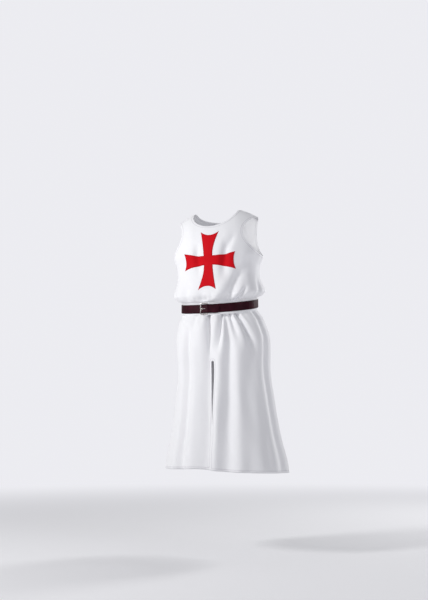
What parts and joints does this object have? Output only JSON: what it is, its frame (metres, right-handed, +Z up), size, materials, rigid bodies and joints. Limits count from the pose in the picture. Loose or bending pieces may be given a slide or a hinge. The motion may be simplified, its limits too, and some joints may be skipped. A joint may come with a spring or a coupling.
{
  "type": "belted sleeveless tunic",
  "caption": "White sleeveless knee-length tunic with a red splayed cross on the chest, bloused over its own dark leather belt, slit at the front of the skirt.",
  "frame": {"origin": "midway between the two points where the shoulder seams meet the neckline, where the tunic hangs on the wearer's shoulders", "axes": "+Z up, the front of the tunic faces -Y, +X is the wearer's left"},
  "size_m": [0.5673, 0.4267, 1.2132],
  "materials": {
    "white_cloth": "smooth woven twill, soft sheen",
    "red_cloth": "smooth woven twill",
    "belt_leather": "satin, dark oxblood",
    "buckle_metal": "worn plating"
  },
  "bodies": {
    "root": {"front_panel": "white_cloth", "back_panel": "white_cloth", "cross": "red_cloth", "belt_strap": "belt_leather", "buckle_frame": "buckle_metal", "buckle_prong": "buckle_metal"}
  },
  "joints": []
}
